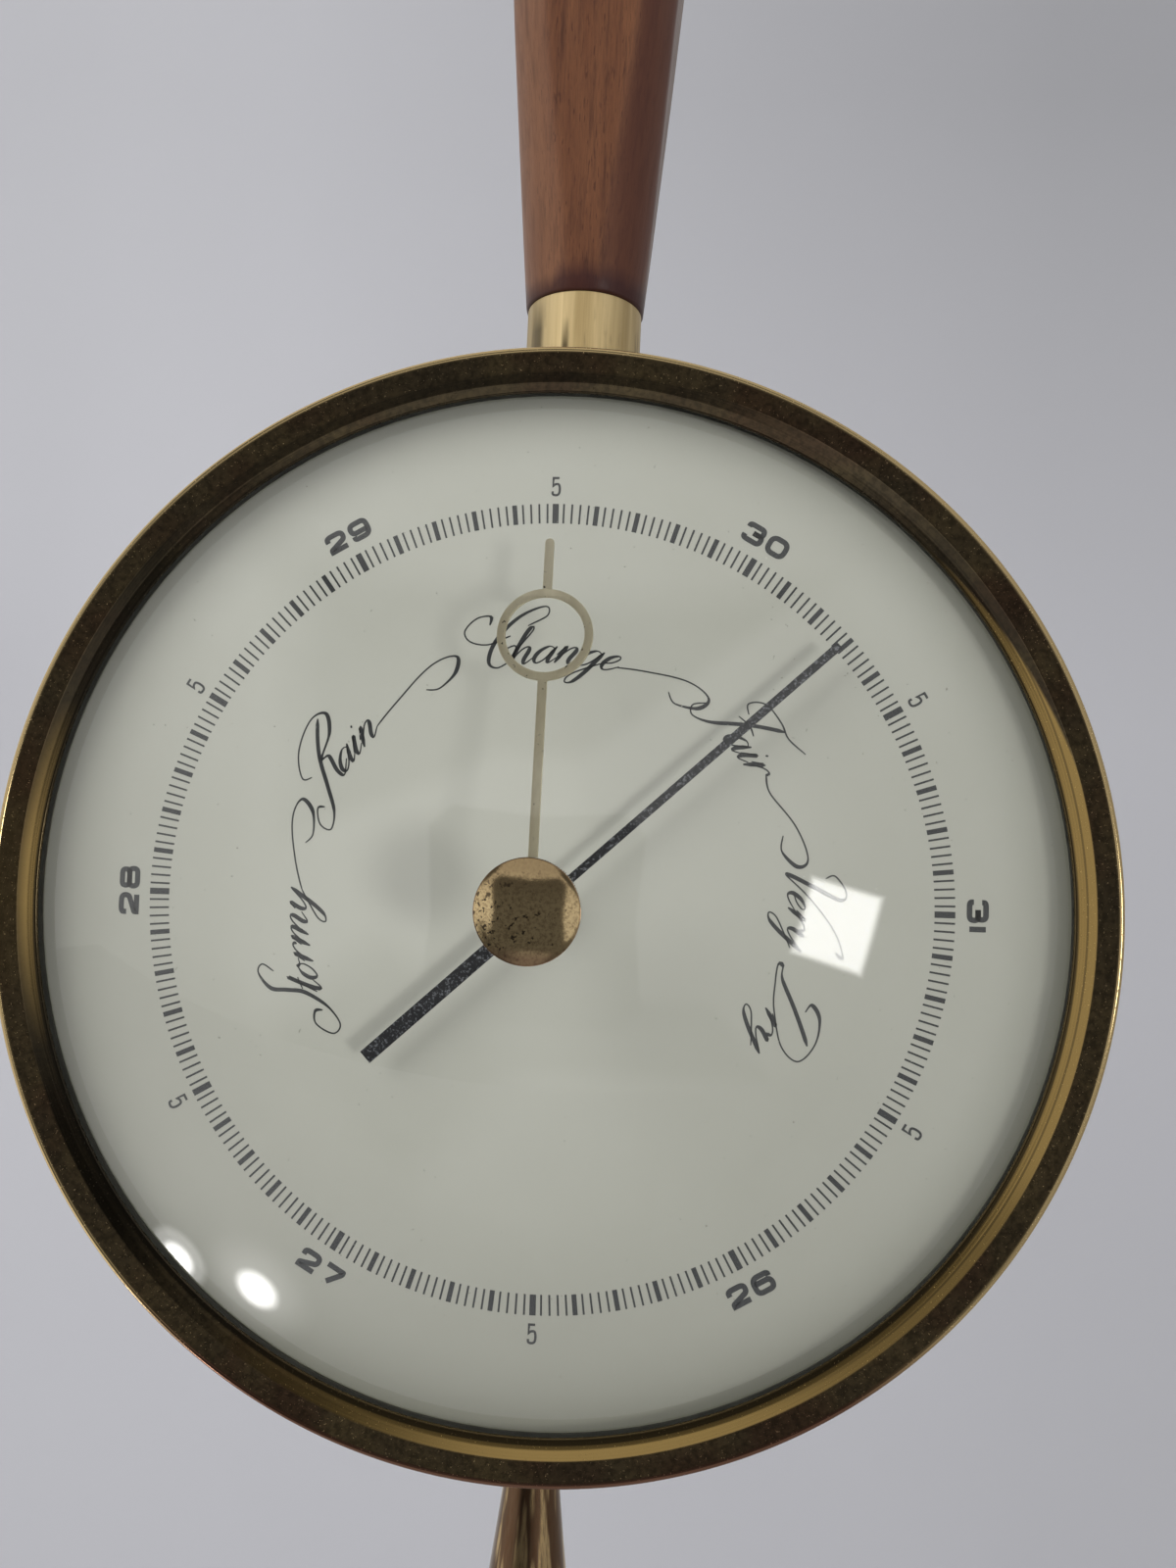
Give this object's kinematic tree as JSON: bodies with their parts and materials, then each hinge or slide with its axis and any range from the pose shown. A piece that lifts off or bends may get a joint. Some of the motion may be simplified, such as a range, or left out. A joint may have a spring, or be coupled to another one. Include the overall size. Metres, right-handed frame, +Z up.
{
  "type": "wall barometer",
  "caption": "Round brass aneroid wall barometer with domed glass, black pressure hand, brass set hand and knob, on a walnut shaft with a brass drop below.",
  "frame": {"origin": "where the dial's axis meets the wall, on the flat back of the case", "axes": "+Z up the shaft, +Y into the wall, -Y out of the front, +X to the right as seen from the front"},
  "size_m": [0.151, 0.0625, 0.4805],
  "materials": {
    "case_brass": "dull lacquered sheet",
    "bezel_brass": "polished, darkened with age",
    "bright_brass": "satin",
    "aged_brass": "polished, streaked with age",
    "work_brass": "brushed",
    "glass": "clear, domed",
    "gasket": "matt",
    "dial_paint": "matt pale grey-green, dark print",
    "hand_black": "satin black",
    "steel": "bright",
    "blue_steel": "blued",
    "nickel_silver": "satin",
    "leather": "worn",
    "walnut": "oiled, straight grained"
  },
  "bodies": {
    "housing": {"case": "case_brass", "bezel": "bezel_brass", "glass_dome": "glass", "glass_gasket": "gasket", "dial_plate": "dial_paint", "dial_feet": "work_brass", "dial_nuts": "work_brass", "knob_washer": "leather", "spindle_spring": "steel", "ferrule": "bright_brass", "wood_shaft": "walnut", "shaft_screw": "steel", "shaft_washer": "steel", "top_cap": "bright_brass", "cap_pin": "aged_brass", "finial": "aged_brass", "finial_screw": "steel", "finial_washer": "steel", "hanger_plate": "steel", "hanger_screws": "steel", "base_plate": "work_brass", "top_plate": "work_brass", "pillars": "work_brass", "pillar_screws": "steel", "base_screws": "steel", "gear_bridge": "work_brass", "bridge_posts": "work_brass", "bridge_screws": "steel", "capsule_bottom": "nickel_silver", "capsule_top": "nickel_silver", "capsule_stud": "work_brass", "stud_nut": "work_brass", "main_spring": "blue_steel", "spring_screws": "steel", "rocker_brackets": "work_brass", "bracket_screws": "steel", "arbor_bush": "work_brass", "hairspring": "blue_steel", "hairspring_stud": "work_brass"},
    "memory_hand": {"set_hand": "bright_brass", "set_knob": "bright_brass", "spindle_nut": "bright_brass"},
    "reading_hand": {"pressure_hand": "hand_black", "hand_hub": "hand_black", "hand_arbor": "steel", "hairspring_collet": "work_brass"},
    "sector": {"sector_gear": "work_brass", "sector_arbor": "steel", "sector_pin": "steel"},
    "rocker_shaft": {"rocker": "work_brass"},
    "post": {"capsule_post": "work_brass", "post_pin": "steel"},
    "adjuster": {"calibration_screw": "steel"}
  },
  "joints": [
    {"name": "hand_turn", "type": "hinge", "parent": "housing", "child": "reading_hand", "pos_m": [0, -0.0436, 0], "axis": [0, 1, 0], "range_deg": [-257.58, 54.42], "stiffness_Nm_per_rad": 0.001, "deforming": ["hairspring"]},
    {"name": "sector_swing", "type": "hinge", "parent": "housing", "child": "sector", "pos_m": [0.02401, -0.0283, 0.006], "axis": [0, 1, 0], "range_deg": [-5.45, 25.77]},
    {"name": "rocker_tilt", "type": "hinge", "parent": "housing", "child": "rocker_shaft", "pos_m": [0, -0.0184, 0.006], "axis": [1, 0, 0], "range_deg": [-8.69, 1.84]},
    {"name": "post_rise", "type": "slide", "parent": "housing", "child": "post", "axis": [0, -1, 0], "range_m": [-0.00019, 0.00091], "deforming": ["capsule_top", "main_spring"]},
    {"name": "set_hand_turn", "type": "hinge", "parent": "housing", "child": "memory_hand", "pos_m": [0, -0.0571, 0], "axis": [0, 1, 0], "continuous": true},
    {"name": "calibration_turn", "type": "hinge", "parent": "housing", "child": "adjuster", "pos_m": [0, -0.0045, -0.0281], "axis": [0, 1, 0], "range_deg": [-180, 180]}
  ],
  "couplings": [
    {"joint": "hand_turn", "follows": "post_rise", "rad_per_m": -4942.9},
    {"joint": "sector_swing", "follows": "post_rise", "rad_per_m": 494.29},
    {"joint": "rocker_tilt", "follows": "post_rise", "rad_per_m": -166.67}
  ]
}
